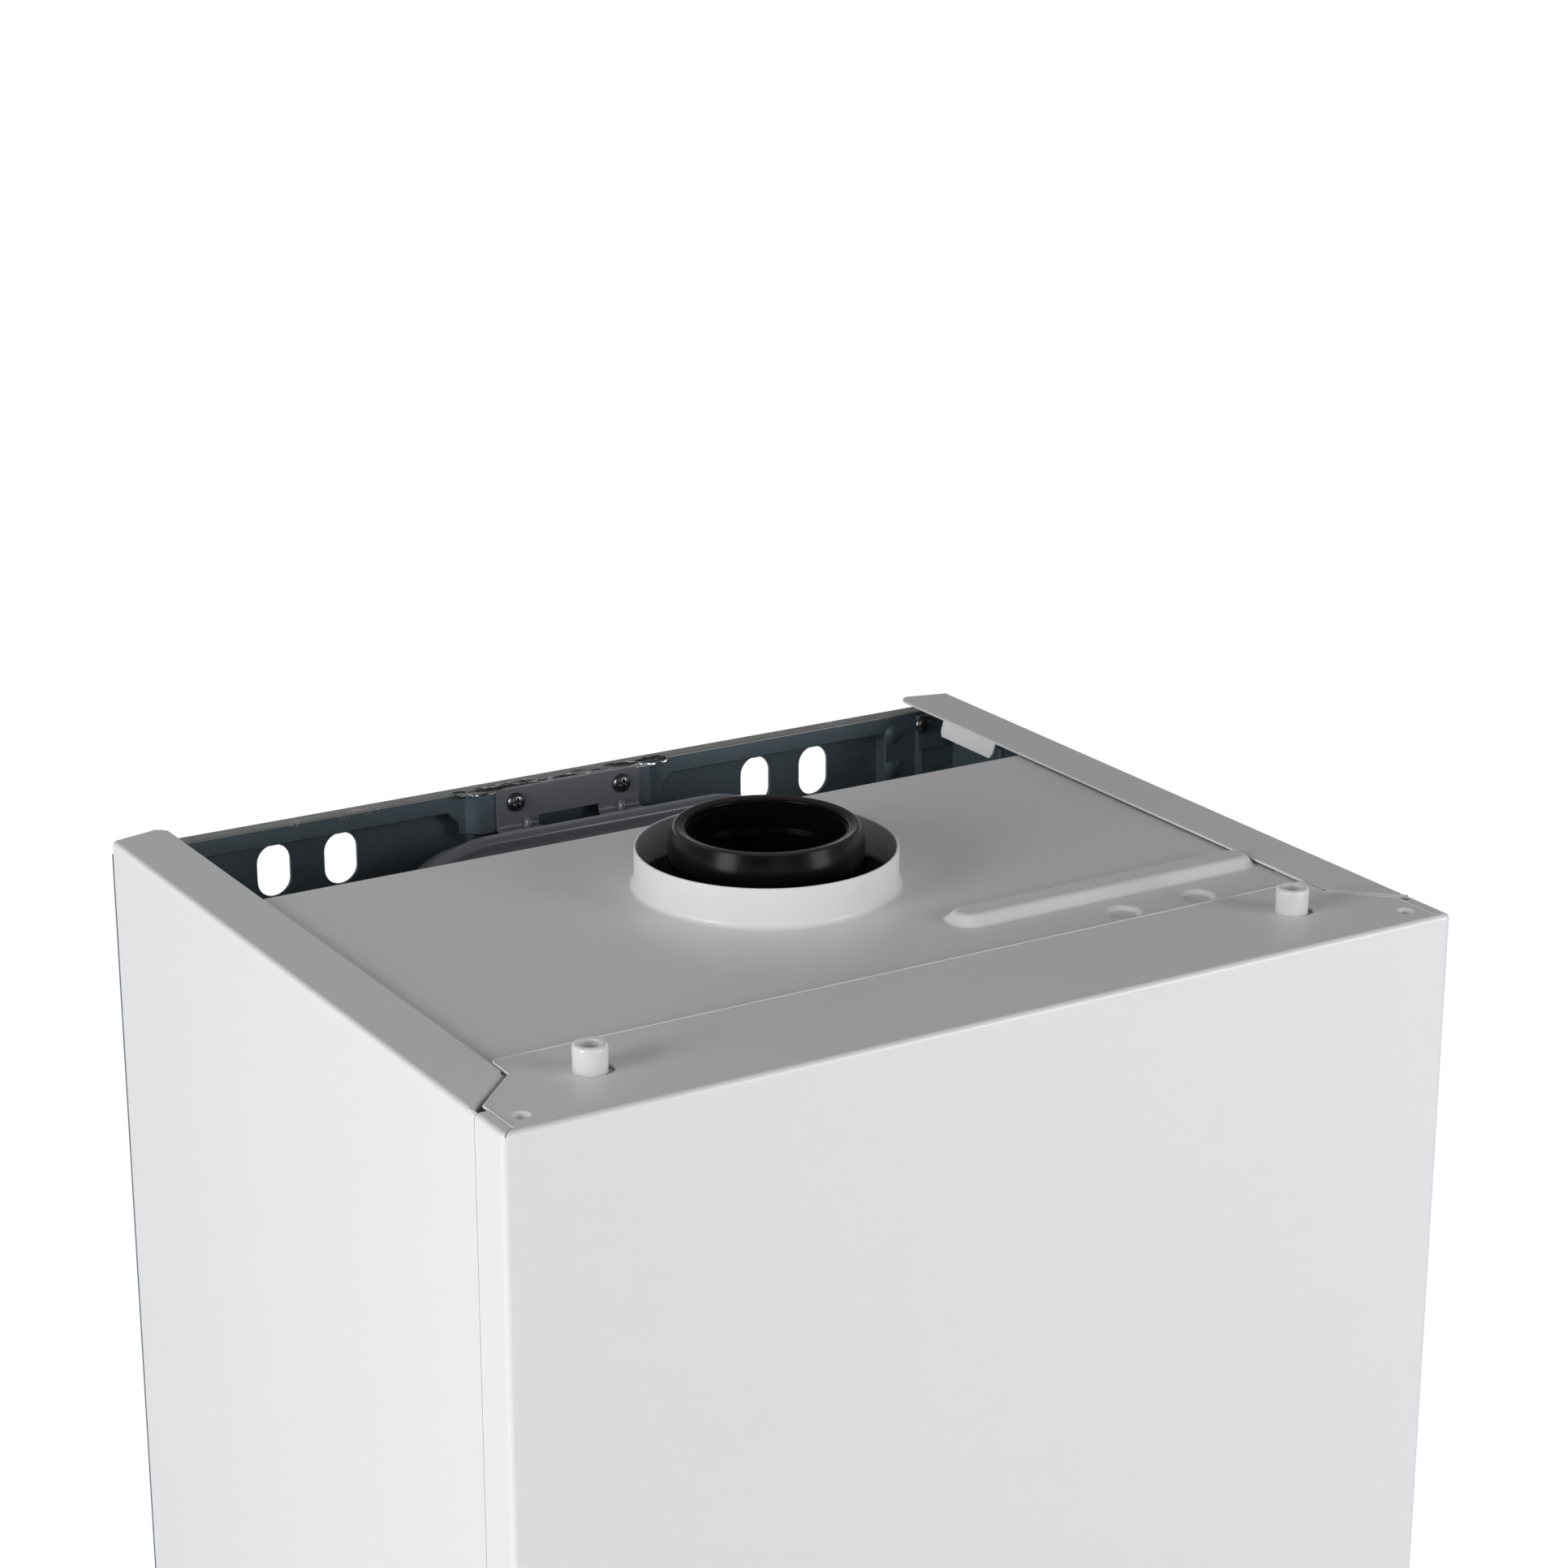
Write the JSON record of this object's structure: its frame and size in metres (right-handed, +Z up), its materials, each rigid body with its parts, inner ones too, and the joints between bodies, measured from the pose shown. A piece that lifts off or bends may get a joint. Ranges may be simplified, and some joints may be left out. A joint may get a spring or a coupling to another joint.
{
  "type": "gas boiler",
  "caption": "Wall-hung gas boiler with a sealed chamber, coaxial flue outlet, lift-off front panel and tilting control box.",
  "frame": {"origin": "in the wall plane, midway between the hanging slots and at their centre height", "axes": "+X to the right along the wall as seen from the front, +Y into the wall, +Z up"},
  "size_m": [0.4, 0.356, 0.8005],
  "materials": {
    "white_paint": "semi-gloss powder coat",
    "zinc_steel": "galvanised sheet",
    "dark_zinc": "dark galvanised steel",
    "grey_paint": "satin grey paint",
    "black_rubber": "satin",
    "nylon": "translucent white",
    "black_steel": "black oxide",
    "foam": "closed-cell foam",
    "copper": "bare copper",
    "brass": "satin",
    "cast_alloy": "cast",
    "ceramic_fibre": "matt board",
    "dark_plastic": "glass-filled",
    "white_plastic": "moulded",
    "grey_plastic": "moulded",
    "silicone": "satin",
    "circuit_board": "solder mask",
    "display_lens": "polished",
    "red_plastic": "moulded",
    "blue_plastic": "moulded"
  },
  "bodies": {
    "casing": {"left_side_panel": "white_paint", "right_side_panel": "white_paint", "chamber_roof": "white_paint", "chamber_shell": "zinc_steel", "chamber_front_cover": "zinc_steel", "chamber_gasket": "foam", "flue_seal": "black_rubber", "locating_pins": "nylon", "top_rear_beam": "dark_zinc", "lower_rear_beam": "dark_zinc", "left_post": "dark_zinc", "right_post": "dark_zinc", "bottom_tray": "zinc_steel", "pan_head_screws": "black_steel", "vessel_front_shell": "grey_paint", "vessel_rear_shell": "grey_paint", "vessel_diaphragm": "black_rubber", "vessel_bracket": "grey_paint", "fan_housing": "cast_alloy", "fan_motor": "black_steel", "smoke_hood": "zinc_steel", "exchanger_fins": "copper", "exchanger_tubes": "copper", "combustion_case": "zinc_steel", "ceramic_panels": "ceramic_fibre", "burner_blades": "zinc_steel", "gas_manifold": "brass", "electrodes": "nylon", "air_pressure_switch": "white_plastic", "pressure_tubes": "silicone", "gas_valve": "cast_alloy", "gas_pipes": "copper", "pump_body": "dark_plastic", "pump_motor": "black_steel", "air_vent": "brass", "return_block": "dark_plastic", "flow_block": "dark_plastic", "plate_exchanger": "zinc_steel", "diverter_motor": "white_plastic", "safety_valve": "brass", "pressure_gauge": "white_plastic", "copper_pipes": "copper", "pipe_stubs": "brass"},
    "front_panel": {"front_panel": "white_paint"},
    "control_box": {"control_box": "white_plastic", "control_cover": "zinc_steel", "control_board": "circuit_board", "display": "display_lens"},
    "knob_heating": {"knob_heating": "grey_plastic"},
    "knob_water": {"knob_water": "grey_plastic"},
    "button_mode": {"button_mode": "grey_plastic"},
    "button_reset": {"button_reset": "grey_plastic"},
    "fan_impeller": {"fan_impeller": "zinc_steel"},
    "pump_impeller": {"pump_impeller": "nylon"},
    "flow_turbine": {"flow_turbine": "nylon"},
    "diverter_stem": {"diverter_stem": "zinc_steel"},
    "safety_valve_knob": {"safety_valve_knob": "red_plastic"},
    "gauge_needle": {"gauge_needle": "red_plastic"},
    "filling_tap": {"filling_tap": "blue_plastic"}
  },
  "joints": [
    {"name": "front_panel_lift", "type": "slide", "parent": "casing", "child": "front_panel", "axis": [0, 0, 1], "range_m": [0, 0.03]},
    {"name": "control_box_tilt", "type": "hinge", "parent": "casing", "child": "control_box", "pos_m": [0, -0.335, -0.718], "axis": [1, 0, 0], "range_deg": [0, 88]},
    {"name": "knob_heating_turn", "type": "hinge", "parent": "control_box", "child": "knob_heating", "pos_m": [-0.11, -0.345, -0.657], "axis": [0, 1, 0], "range_deg": [-135, 135]},
    {"name": "knob_water_turn", "type": "hinge", "parent": "control_box", "child": "knob_water", "pos_m": [0.11, -0.345, -0.657], "axis": [0, 1, 0], "range_deg": [-135, 135]},
    {"name": "button_mode_press", "type": "slide", "parent": "control_box", "child": "button_mode", "axis": [0, 1, 0], "range_m": [0, 0.0012], "stiffness_N_per_m": 600},
    {"name": "button_reset_press", "type": "slide", "parent": "control_box", "child": "button_reset", "axis": [0, 1, 0], "range_m": [0, 0.0012], "stiffness_N_per_m": 600},
    {"name": "fan_spin", "type": "hinge", "parent": "casing", "child": "fan_impeller", "pos_m": [-0.024, -0.1775, -0.056], "axis": [0, 1, 0], "continuous": true},
    {"name": "pump_spin", "type": "hinge", "parent": "casing", "child": "pump_impeller", "pos_m": [0.12, -0.1375, -0.58], "axis": [0, 1, 0], "continuous": true},
    {"name": "flow_turbine_spin", "type": "hinge", "parent": "casing", "child": "flow_turbine", "pos_m": [0.065, -0.11, -0.67], "axis": [0, 0, 1], "continuous": true},
    {"name": "diverter_shift", "type": "slide", "parent": "casing", "child": "diverter_stem", "axis": [0, 0, 1], "range_m": [0, 0.008]},
    {"name": "safety_valve_turn", "type": "hinge", "parent": "casing", "child": "safety_valve_knob", "pos_m": [0.118, -0.16, -0.656], "axis": [0, 1, 0], "range_deg": [0, 90]},
    {"name": "gauge_needle_turn", "type": "hinge", "parent": "casing", "child": "gauge_needle", "pos_m": [0.034, -0.202, -0.72], "axis": [0, 0, 1], "range_deg": [0, 270]},
    {"name": "filling_tap_turn", "type": "hinge", "parent": "casing", "child": "filling_tap", "pos_m": [0.0975, -0.11, -0.7], "axis": [0, 0, 1], "range_deg": [0, 90]}
  ]
}
